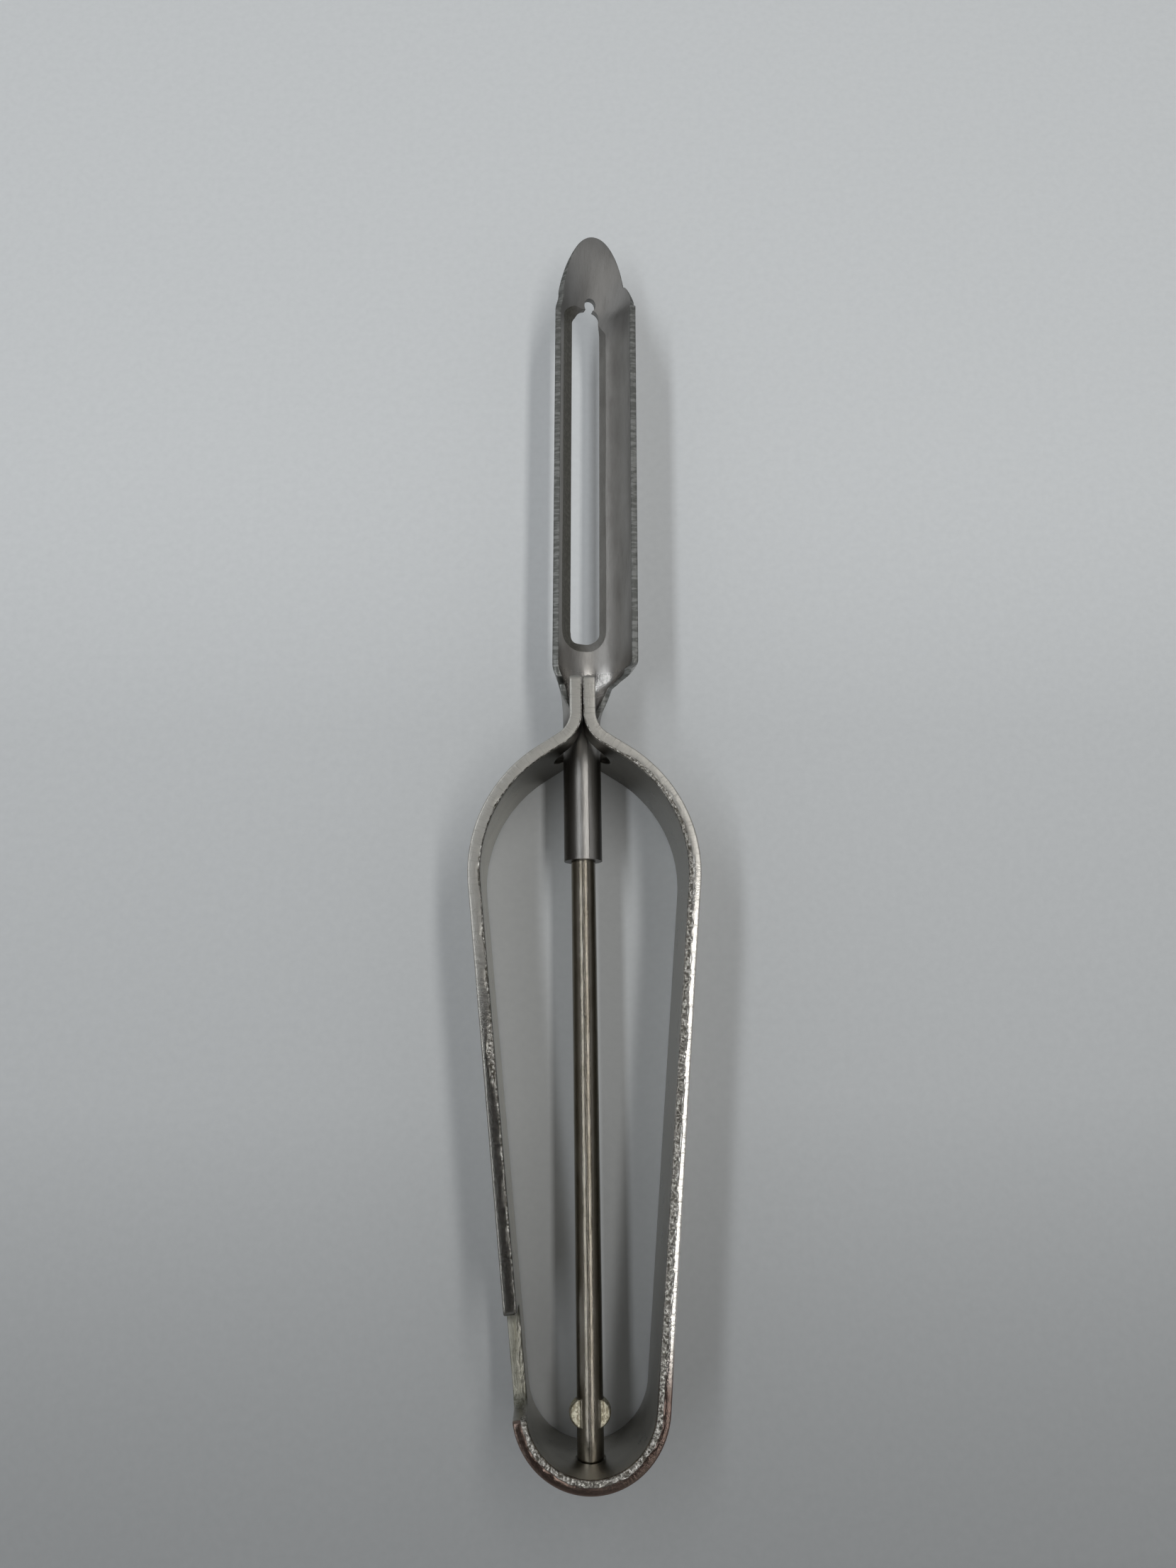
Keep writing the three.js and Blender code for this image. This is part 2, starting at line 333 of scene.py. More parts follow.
def handle_outline():
    e = PATH_END
    c = NOTCH_CORNER
    n0, n1 = s_at_leg(NOTCH_FROM), s_at_leg(NOTCH_TO)
    floor = WIDTH - NOTCH_DEPTH
    f, lo, hi = e - FORK_DEPTH, AXIS_Z - FORK_HALF, AXIS_Z + FORK_HALF
    ear_r, fork_r, soft = EAR_CORNER, FORK_CORNER, NOTCH_SOFT
    p = []
    # Anticlockwise in (s, z): lower edge, right ear's fork, upper edge with the notch, left ear's fork.
    p += arc(-e + ear_r, ear_r, ear_r, 180, 270, 5) + arc(e - ear_r, ear_r, ear_r, 270, 360, 5)
    p += arc(e - fork_r, lo - fork_r, fork_r, 0, 90, 4)
    p += arc(f + FORK_HALF, AXIS_Z, FORK_HALF, 270, 90, 25)
    p += arc(e - fork_r, hi + fork_r, fork_r, 270, 360, 4)
    p += arc(e - ear_r, WIDTH - ear_r, ear_r, 0, 90, 5)
    p += arc(-n0 + soft, WIDTH - soft, soft, 90, 180, 6)
    p += arc(-n0 - c, floor + c, c, 0, -90, 12)
    p += arc(-n1 + c, floor + c, c, -90, -180, 12)
    p += arc(-n1 - soft, WIDTH - soft, soft, 0, 90, 6)
    p += arc(-e + ear_r, WIDTH - ear_r, ear_r, 90, 180, 5)
    p += arc(-e + fork_r, hi + fork_r, fork_r, 180, 270, 4)
    p += arc(-f - FORK_HALF, AXIS_Z, FORK_HALF, 90, -90, 25)
    p += arc(-e + fork_r, lo - fork_r, fork_r, 90, 180, 4)
    loop = resample(np.array(p), EDGE_SPACING)
    keep = np.linalg.norm(loop - np.roll(loop, 1, 0), axis=1) > 1e-4
    return loop[keep]


# The ledge of the sheared upper edge: millimetres along the strip from its middle, and the height over the
# strip's middle surface at which the torn part starts.
TORN_LEDGE = (
    (-111, -0.70),
    (-100, -0.68),
    (-88, -0.60),
    (-70, -0.60),
    (-60, -0.58),
    (-57, -0.05),
    (-53, -0.10),
    (-50, -0.56),
    (-25, -0.60),
    (-15, -0.20),
    (0, -0.12),
    (15, -0.10),
    (25, -0.03),
    (62, -0.03),
    (74, -0.20),
    (86, -0.28),
    (97, -0.40),
    (103, -0.66),
    (111, -0.70),
)
PLAIN_TORN = -0.3  # the same on the lower edge and in the fork and the notch
PLAIN_LEAN, BURNISH_LEAN = 0.012, 0.088  # slope of the burnished part, elsewhere and on the right leg
LEFT_EAR_R, RIGHT_EAR_R = 0.28, 0.80


def handle_rim(loop):
    """The sheared edge: burnished from the outer face to a ledge, torn from there to the inner face."""
    s, z = loop[:, 0], loop[:, 1]
    half = THICK / 2
    top = smooth((z - 13.5) / 1.5)
    right = smooth((s - 14) / 8) * smooth((80 - s) / 14) * top
    ears = smooth((np.abs(s) - (PATH_END - 12)) / 5)
    across = s + 2.3 * z
    jag = value_noise(across, 11, 0.5) * 0.6 + value_noise(across, 12, 1.3) * 0.4
    ledge = PLAIN_TORN + (np.interp(s, *zip(*TORN_LEDGE)) - PLAIN_TORN) * top
    ledge = ledge + (0.10 * value_noise(across, 13, 2.6) + 0.09 * jag) * (1 - 0.7 * ears)
    reach = ledge + half
    tear = np.clip(0.24 * reach + 0.05, 0.07, 0.20) * (1 - 0.5 * ears)
    lean = PLAIN_LEAN + (BURNISH_LEAN - PLAIN_LEAN) * right
    ripple = 0.008 * value_noise(s, 14, 0.45)

    def burnished(height):
        return lean * (height - ledge) + ripple

    # The right ear's end is tumbled round, the left one's is nearly square.
    at_end = smooth((np.abs(s) - (PATH_END - 0.25)) / 0.2)
    end_r = np.where(s > 0, RIGHT_EAR_R, LEFT_EAR_R)

    def ended(height):
        past = np.clip((np.abs(height) - (half - end_r)) / end_r, 0, 0.995)
        return at_end * end_r * (1 - np.sqrt(1 - past**2))

    corner = 0.09 * (1 - 0.6 * ears)
    middle = (half - 0.27 + ledge) * 0.5
    rows = [
        (burnished(half) + 0.22, half, 0),
        (burnished(half) + 0.10, half - 0.015, 0),
        (burnished(half - 0.06) + 0.045, half - 0.06, 0),
        (burnished(half - 0.27), half - 0.27, 0),
        (burnished(middle), middle, 0),
        (ripple, ledge + 0.05, 0),
    ]
    # The torn face is lumpy: each of its rings has its own bumps.
    crumbly = np.maximum(smooth((z - 13) / 1), smooth((2.6 - z) / 1))
    for k, share in enumerate((0.06, 0.24, 0.42, 0.60, 0.78)):
        lumps = 0.55 * value_noise(across, 20 + k, 0.34) + 0.45 * value_noise(across, 30 + k, 0.8)
        depth = tear * (0.35 + 0.65 * share + 0.6 * lumps)
        rows.append((np.maximum(depth, 0.004), ledge - share * (reach - corner), crumbly))
    rows += [
        (tear * (1.05 + 0.2 * jag) + 0.02, corner - half, 0.8 * crumbly),
        (tear * 1.1 + corner + 0.03, corner * 0.28 - half, 0.3 * crumbly),
        (tear * 1.1 + corner + 0.23, -half, 0),
    ]
    rows = [(a + ended(b), b, c) for a, b, c in rows]
    return rim_rows([(np.maximum(a, 0), b, c) for a, b, c in rows], s)


def hole_rim(loop):
    half = THICK / 2
    return rim_rows(
        [
            (SINK_R - HOLE_R + 0.12, half, 0),
            (SINK_R - HOLE_R, half - 0.04, 0),
            (0.05, half - SINK_DEPTH, 0),
            (0, half - SINK_DEPTH - 0.08, 0),
            (0, -half + 0.15, 0),
            (0.05, -half + 0.04, 0),
            (0.18, -half, 0),
        ],
        loop[:, 0],
    )


outline = handle_outline()
hole = np.array(arc(0, AXIS_Z, HOLE_R, 360, 0, 49)[:-1])
handle = plate(
    "handle_look", [outline, hole], [handle_rim(outline), hole_rim(hole)], handle_place, (0.9, 1.1)
)

# ---------------------------------------------------------------- blade

SHEET = 0.93
TUBE_R, TUBE_WRAP = 2.17, math.radians(179.85)
SHANK_END, NECK_FROM, NECK_TO = 76.8, 96.2, 104.4
TROUGH_R, TROUGH_C, TROUGH_WRAP = 5.63, 5.6, math.radians(62)
NECK_EDGE, NECK_OPEN, EDGE_RISE = 1.8, 101.7, (2.6, 1.2)
TIP_FROM, TIP_END, TIP_RIM = 160.4, 173.6, 2.98
TIP_ROUND_ALONG, TIP_ROUND_ACROSS = 1.735, 0.486
TIP_BROADER, TIP_BROADER_OVER = 1.116, 0.25
TIP_FLATTEN_ALONG, TIP_FLATTEN_DEPTH = 1.5, 2.67
TIP_SHIFT, TIP_SHIFT_OVER = 0.69, 0.186
FLANGE_WRAP = math.radians(46)
FLANGE_END, FLANGE_START = (102.45, 102.85), (160.2, 166.0)
FLANGE_DROP, FLANGE_STUB = 162.6, 0.3
SLOT_FROM, SLOT_TO, SLOT_HALF, SLOT_CORNER = 108.6, 162.6, 2.35, 1.7
RELIEF_Y, RELIEF_R = 163.2, 0.9
REST_TURN = math.radians(18)
BLADE_LEAN = math.tan(math.radians(0.86))
# The right wall's lower end is dished down to the neck.
DENT_W, DENT_Y, DENT_R, DENT_DEPTH = 5.0, 102.8, 1.15, 0.36


def section(y):
    """Radius, centre height and wrap to each side of the sheet's middle at each y."""
    y = np.asarray(y, float)
    opening = smooth((y - NECK_FROM) / (NECK_TO - NECK_FROM))
    bend = (1 - opening) / TUBE_R + opening / TROUGH_R
    bottom = -TUBE_R * (1 - opening) + (TROUGH_C - TROUGH_R) * opening
    half_sheet = TUBE_R * TUBE_WRAP * (1 - opening) + TROUGH_R * TROUGH_WRAP * opening
    r = 1 / bend
    centre = bottom + r
    wrap = half_sheet / r
    # Past the ears the two edges climb from where the ears reach over them to the full walls.
    sides = []
    for rise in EDGE_RISE:
        edge = NECK_EDGE + np.maximum(y - NECK_OPEN, 0) * rise
        low = np.arccos(np.clip((centre - edge) / r, -1, 1))
        sides.append(np.where(opening > 0, np.minimum(wrap, low), wrap))
    along = np.clip((y - TIP_FROM) / (TIP_END - TIP_FROM), 0, 1)
    broader = 1 + (TIP_BROADER - 1) * smooth(along / TIP_BROADER_OVER)
    round_off = np.maximum(1 - along**TIP_ROUND_ALONG, 0) ** TIP_ROUND_ACROSS
    half = TROUGH_R * math.sin(TROUGH_WRAP) * broader * round_off
    depth = TROUGH_R * (1 - math.cos(TROUGH_WRAP))
    sag = np.maximum(depth * (1 - along**TIP_FLATTEN_ALONG) ** TIP_FLATTEN_DEPTH, 0.02)
    tip = y > TIP_FROM
    bowl = (half**2 + sag**2) / (2 * sag)
    rim = (TROUGH_C - TROUGH_R + depth) * (1 - along) + TIP_RIM * along
    r = np.where(tip, bowl, r)
    centre = np.where(tip, rim - sag + bowl, centre)
    left, right = (np.where(tip, np.arcsin(np.minimum(half / bowl, 1)), side) for side in sides)
    start = np.clip((y - FLANGE_START[0]) / (FLANGE_START[1] - FLANGE_START[0]), 0, 1)
    end = smooth((y - FLANGE_END[0]) / (FLANGE_END[1] - FLANGE_END[0]))
    drop = smooth((y - FLANGE_START[0]) / (FLANGE_DROP - FLANGE_START[0]))
    height = FLANGE_STUB * np.sqrt(1 - start**2) + (1 - FLANGE_STUB) * (1 - drop)
    flange = FLANGE_WRAP * TROUGH_R / r * height * end
    return r, centre, left, right + flange


def blade_place(w, y, h):
    """w runs round the sheet's middle line, h towards the inside of the trough."""
    r, centre, _, _ = section(y)
    h = h - DENT_DEPTH * np.exp(-((w - DENT_W) ** 2 + (y - DENT_Y) ** 2) / DENT_R**2)
    a = w / r
    x = (r - h) * np.sin(a)
    z = centre - (r - h) * np.cos(a)
    c, s = math.cos(REST_TURN), math.sin(REST_TURN)
    lean = np.maximum(y - NECK_FROM, 0) * BLADE_LEAN
    lean += TIP_SHIFT * smooth((y - TIP_FROM) / (TIP_END - TIP_FROM) / TIP_SHIFT_OVER)
    return np.column_stack([x * c + z * s + lean, y, z * c - x * s + AXIS_Z])


def blade_outline():
    ys = np.unique(
        np.concatenate(
            [
                np.linspace(SHANK_END, NECK_FROM, 3),
                np.linspace(NECK_FROM, FLANGE_END[0], 34),
                np.linspace(*FLANGE_END, 10),
                [NECK_TO, 132],
                TIP_FROM + (TIP_END - TIP_FROM - 0.015) * np.sin(np.linspace(0, math.pi / 2, 46)),
                np.linspace(*FLANGE_START, 14),
                FLANGE_START[0]
                + (FLANGE_START[1] - FLANGE_START[0]) * np.sin(np.linspace(0, math.pi / 2, 14)),
            ]
        )
    )
    r, _, left, right = section(ys)
    up = np.column_stack([r * right, ys])
    down = np.column_stack([-r * left, ys])[::-1]
    loop = resample(np.concatenate([up, down]), 0.34)
    keep = np.linalg.norm(loop - np.roll(loop, 1, 0), axis=1) > 0.02
    return loop[keep]


def slot_outline():
    """The slot's rim, clockwise, with the relief hole breaking into its upper end."""
    c, half = SLOT_CORNER, SLOT_HALF
    arch = SLOT_TO - half
    gap = RELIEF_Y - arch
    cut = math.degrees(math.acos((gap**2 + half**2 - RELIEF_R**2) / (2 * gap * half)))
    bite = math.degrees(math.acos((gap**2 + RELIEF_R**2 - half**2) / (2 * gap * RELIEF_R)))
    p = arc(0, arch, half, 180, 90 + cut, 14)
    p += arc(0, RELIEF_Y, RELIEF_R, 270 - bite, -90 + bite, 22)
    p += arc(0, arch, half, 90 - cut, 0, 14)
    p += arc(half - c, SLOT_FROM + c, c, 0, -90, 9)
    p += arc(-half + c, SLOT_FROM + c, c, 270, 180, 9)
    loop = np.array(p)
    # The drawing is seen from above, so x becomes a distance round the trough.
    r, _, _, _ = section(loop[:, 1])
    loop[:, 0] = r * np.arcsin(loop[:, 0] / r)
    loop = resample(loop, 0.32)
    keep = np.linalg.norm(loop - np.roll(loop, 1, 0), axis=1) > 0.02
    return loop[keep]


OUTER_RIM, GROUND = -1, 1  # marks of the blade's cut rims and of the bevel ground round its slot


def blade_rim(loop):
    w, y = loop[:, 0], loop[:, 1]
    half = SHEET / 2
    jag = value_noise(y + 2.1 * w, 21, 0.35)
    torn = smooth((w - 7.5) / 1.5) * (0.6 + 0.4 * value_noise(y, 22, 3.0))  # on the taller right wall
    open_part = smooth((y - NECK_FROM - 0.5) / 2)
    rim, soft = OUTER_RIM * open_part, 0.1 + 0.9 * open_part
    return rim_rows(
        [
            (0.17 * soft, half, 0),
            (0.06 * soft, half - 0.03 * soft, rim),
            (0.015, half - 0.10 * soft, rim),
            (0.0, half - 0.30 + 0.03 * jag, rim),
            (0.07 * torn * (1 + jag), -0.02 + 0.08 * jag, rim),
            (0.02 + 0.12 * torn * (1 + jag), -half + 0.16, rim),
            (0.09 * soft + 0.06 * torn, -half + 0.05 * soft, rim),
            (0.24 * soft, -half, 0),
        ],
        w,
    )


LEFT_BEVEL, RIGHT_BEVEL, END_BEVEL = 2.0, 1.25, 1.3
LEFT_LIP, RIGHT_LIP = -0.55, 0.15  # how far the ground edge stands back from the cut, minus is into the slot


def slot_rim(loop):
    """A wide bevel ground along the slot, shallow and lipped on the left, which runs out round the arch."""
    w, y = loop[:, 0], loop[:, 1]
    half = SHEET / 2
    rightness = smooth((w + 1.3) / 2.6)
    left_on, right_on = smooth((162.5 - y) / 1.3), smooth((160.6 - y) / 2.2)
    on = left_on * (1 - rightness) + right_on * rightness
    bottom = smooth((SLOT_FROM + 1.2 - y) / 1.2)
    width = LEFT_BEVEL * (1 - rightness) + RIGHT_BEVEL * rightness
    width = (width * (1 - bottom) + END_BEVEL * bottom) * on
    width = width * (1 + 0.05 * value_noise(y, 31, 4.0)) + 0.04
    lip = (LEFT_LIP * (1 - rightness) + RIGHT_LIP * rightness) * (1 - bottom) * on
    depth = 0.12 + (0.33 * (1 - rightness) + 0.45 * rightness) * on
    chatter = 0.012 * value_noise(y + w, 32, 0.5)
    # The ground mark is full on the left bevel and faint on the right, so its dark colour is partly painted
    # shade on the left.
    made = GROUND * on * (1 - 0.8 * rightness)
    return rim_rows(
        [
            (width + 0.04, half, 0),
            (width, half - 0.012, made),
            (width * 0.5 + lip * 0.5 + chatter, half - depth * 0.5, made),
            (lip + 0.03, half - depth, made),
            (lip, half - depth - 0.04, made),
            (lip * 0.75, -half + 0.10, -0.5),
            (lip * 0.7 + 0.04, -half + 0.03, -0.5),
            (lip * 0.7 + 0.14, -half, 0),
        ],
        w,
    )


edge = blade_outline()
slot = slot_outline()
blade = plate("blade_look", [edge, slot], [blade_rim(edge), slot_rim(slot)], blade_place, (0.32, 0.36))

# ---------------------------------------------------------------- rod

ROD_R, ROD_TOP, ROD_TAIL, TAIL_HEAD_R, TAIL_HEAD = 1.68, 96.0, 0.2, 2.35, 0.5
SWAGE_Y, SWAGE_REACH, SWAGE_LONG, SWAGE_UP, SWAGE_DOWN = 7.1, 2.66, 2.2, 2.6, 1.45
FACET_TILT, FACET_FROM = math.radians(17), 0.95


def rod_mesh():
    around = 96
    ys = np.unique(
        np.concatenate(
            [
                ROD_TAIL + 0.15 * (1 - np.cos(np.linspace(0, math.pi / 2, 5))),
                [ROD_TAIL + TAIL_HEAD, ROD_TAIL + TAIL_HEAD + 0.3],
                np.linspace(1.2, SWAGE_Y - 2.1, 12),
                np.linspace(SWAGE_Y - 2.1, SWAGE_Y + 2.1, 72),
                np.linspace(SWAGE_Y + 2.1, ROD_TOP, 120),
            ]
        )
    )
    a = np.linspace(0, 2 * math.pi, around, endpoint=False)
    points, dev = [], []
    for y in ys:
        radius = np.full(around, ROD_R)
        if y < ROD_TAIL + TAIL_HEAD + 0.3:
            end = max(ROD_TAIL + 0.15 - y, 0) / 0.15
            head = TAIL_HEAD_R - 0.25 * (1 - math.sqrt(max(1 - end**2, 0)))
            t = (y - ROD_TAIL - 0.15) / (TAIL_HEAD + 0.15)
            radius[:] = head - (TAIL_HEAD_R - ROD_R) * min(max(t, 0), 1)
        radius += 0.010 * value_noise(y + 0 * a, 41, 6.0)
        radius += 0.006 * value_noise(np.degrees(a) / 9 + y, 42, 1.0)
        # Two flat-topped ears are pinched out of the rod, one to each side.
        u = (y - SWAGE_Y) / SWAGE_LONG
        if abs(u) < 1:
            k = math.sqrt(1 - u * u)
            tall = np.where(np.cos(a) > 0, SWAGE_UP, SWAGE_DOWN)
            wing = k / np.sqrt((np.sin(a) / SWAGE_REACH) ** 2 + (np.cos(a) / tall) ** 2)
            start = math.sqrt(ROD_R**2 - FACET_FROM**2)
            nx, nz = math.sin(FACET_TILT), math.cos(FACET_TILT)
            reach = FACET_FROM * nx + start * nz
            facing = np.abs(np.sin(a)) * nx + np.cos(a) * nz
            flat = np.where(facing > 0.05, reach / np.maximum(facing, 0.05), 99)
            radius = np.maximum(radius, np.minimum(wing, np.maximum(flat, 0)))
        for ang, rr in zip(a, radius):
            points.append((rr * math.sin(ang), y, AXIS_Z + rr * math.cos(ang)))
            dev.append((ang * ROD_R, y, rr - ROD_R))
    faces = []
    for j in range(len(ys) - 1):
        for i in range(around):
            i2 = (i + 1) % around
            faces.append((j * around + i, (j + 1) * around + i, (j + 1) * around + i2, j * around + i2))
    faces.append(tuple(range(around)))
    faces.append(tuple(range(len(ys) * around - 1, (len(ys) - 1) * around - 1, -1)))
    return mesh_object("rod_look", np.array(points), faces, dev)


rod = rod_mesh()

# ---------------------------------------------------------------- materials


class Nodes:
    """Short names for making shader nodes."""

    def __init__(self, name):
        self.mat = bpy.data.materials.new(name)
        self.mat.use_nodes = True
        self.tree = self.mat.node_tree
        self.bsdf = self.tree.nodes["Principled BSDF"]

    def add(self, kind, **props):
        n = self.tree.nodes.new(kind)
        for k, v in props.items():
            setattr(n, k, v)
        return n

    def link(self, a, b):
        self.tree.links.new(a, b)

    def math(self, op, a, b=None, c=None, clamp=False):
        n = self.add("ShaderNodeMath", operation=op, use_clamp=clamp)
        for i, v in enumerate((a, b, c)):
            if v is None:
                continue
            if isinstance(v, (int, float)):
                n.inputs[i].default_value = v
            else:
                self.link(v, n.inputs[i])
        return n.outputs[0]

    def ramp(self, value, stops):
        n = self.add("ShaderNodeValToRGB")
        e = n.color_ramp.elements
        e[0].position, e[0].color = stops[0][0], (*stops[0][1], 1)
        e[1].position, e[1].color = stops[-1][0], (*stops[-1][1], 1)
        for pos, col in stops[1:-1]:
            x = e.new(pos)
            x.color = (*col, 1)
        self.link(value, n.inputs[0])
        return n.outputs[0]

    def span(self, value, lo, hi, a=0.0, b=1.0):
        n = self.add("ShaderNodeMapRange", interpolation_type="SMOOTHSTEP")
        self.link(value, n.inputs[0])
        for i, v in zip((1, 2, 3, 4), (lo, hi, a, b)):
            n.inputs[i].default_value = v
        return n.outputs[0]

    def mix(self, f, a, b, mode="MIX"):
        n = self.add("ShaderNodeMix", data_type="RGBA", blend_type=mode)
        for i, v in ((0, f), (6, a), (7, b)):
            if isinstance(v, (int, float)):
                n.inputs[i].default_value = v
            elif isinstance(v, tuple):
                n.inputs[i].default_value = (*v, 1)
            else:
                self.link(v, n.inputs[i])
        return n.outputs[2]

    def dev(self):
        n = self.add("ShaderNodeAttribute", attribute_name="dev", attribute_type="GEOMETRY")
        parts = self.add("ShaderNodeSeparateXYZ")
        self.link(n.outputs["Vector"], parts.inputs[0])
        return n.outputs["Vector"], parts.outputs

    def mark(self):
        """How the surface was made, and how much it is marked the one way or the other."""
        n = self.add("ShaderNodeAttribute", attribute_name="mark", attribute_type="GEOMETRY")
        made = n.outputs["Fac"]
        return self.math("MAXIMUM", made, 0.0), self.math("MAXIMUM", self.math("MULTIPLY", made, -1.0), 0.0)

    def noise(self, at, scale, detail=3.0, rough=0.55, stretch=(1, 1, 1)):
        m = self.add("ShaderNodeMapping")
        self.link(at, m.inputs[0])
        m.inputs["Scale"].default_value = stretch
        n = self.add("ShaderNodeTexNoise")
        self.link(m.outputs[0], n.inputs["Vector"])
        n.inputs["Scale"].default_value = scale
        n.inputs["Detail"].default_value = detail
        n.inputs["Roughness"].default_value = rough
        return n.outputs[0]

    def bump(self, height, distance, strength, below=None):
        n = self.add("ShaderNodeBump")
        n.inputs["Distance"].default_value = distance
        n.inputs["Strength"].default_value = strength
        self.link(height, n.inputs["Height"])
        if below is not None:
            self.link(below, n.inputs["Normal"])
        return n.outputs[0]


RAMP_REACH = 112.0  # the ramps along the strip cover this much each way from its middle


def along_strip(stops):
    """Ramp stops given by millimetres along the strip, from its middle."""
    colours = [c if isinstance(c, tuple) else (c, c, c) for _, c in stops]
    return [((s + RAMP_REACH) / (2 * RAMP_REACH), c) for (s, _), c in zip(stops, colours)]


# Colour ramps over a noise, from its dark patches to its light ones.
NICKEL = ((0.3, (0.40, 0.385, 0.355)), (0.55, (0.50, 0.485, 0.455)), (0.75, (0.56, 0.545, 0.515)))
# The torn steel's grey, with painted glints on its crumbs and painted shade in its pits.
TORN_STEEL_GLINTS_AND_SHADE = (
    (0.38, (0.10, 0.09, 0.07)),
    (0.46, (0.28, 0.265, 0.235)),
    (0.54, (0.54, 0.52, 0.48)),
    (0.62, (0.86, 0.84, 0.79)),
)
NOTCH_FLOOR = ((0.35, (0.17, 0.165, 0.13)), (0.55, (0.34, 0.335, 0.285)), (0.7, (0.44, 0.43, 0.38)))
SATIN_STEEL = ((0.3, (0.33, 0.32, 0.305)), (0.5, (0.40, 0.39, 0.375)), (0.72, (0.46, 0.45, 0.435)))
DRAWN_WIRE = ((0.3, (0.18, 0.16, 0.125)), (0.55, (0.25, 0.23, 0.195)), (0.75, (0.30, 0.285, 0.25)))

# The upper edge of the strip is satin at the shoulders and rubbed bright down the legs; painted reflections
# in its colour darken it down the left leg, lighten it down the right one and turn it reddish brown at the
# base.
EDGE_COLOUR_AND_REFLECTIONS = along_strip(
    [
        (-108, (0.49, 0.48, 0.445)),
        (-70, (0.45, 0.44, 0.41)),
        (-52, (0.22, 0.215, 0.20)),
        (-22, (0.20, 0.195, 0.18)),
        (-16, (0.20, 0.145, 0.125)),
        (0, (0.175, 0.13, 0.11)),
        (15, (0.20, 0.145, 0.125)),
        (22, (0.82, 0.80, 0.76)),
        (70, (0.80, 0.78, 0.74)),
        (84, (0.47, 0.46, 0.43)),
        (108, (0.46, 0.45, 0.42)),
    ]
)
EDGE_ROUGHNESS = along_strip(
    [
        (-108, 0.36),
        (-80, 0.34),
        (-66, 0.28),
        (-54, 0.16),
        (-18, 0.13),
        (0, 0.15),
        (18, 0.15),
        (62, 0.15),
        (78, 0.26),
        (90, 0.35),
        (108, 0.37),
    ]
)


FORK_GRIME_AND_SHADE_FROM, FORK_GRIME_AND_SHADE_TO = PATH_END - 24, PATH_END - 12


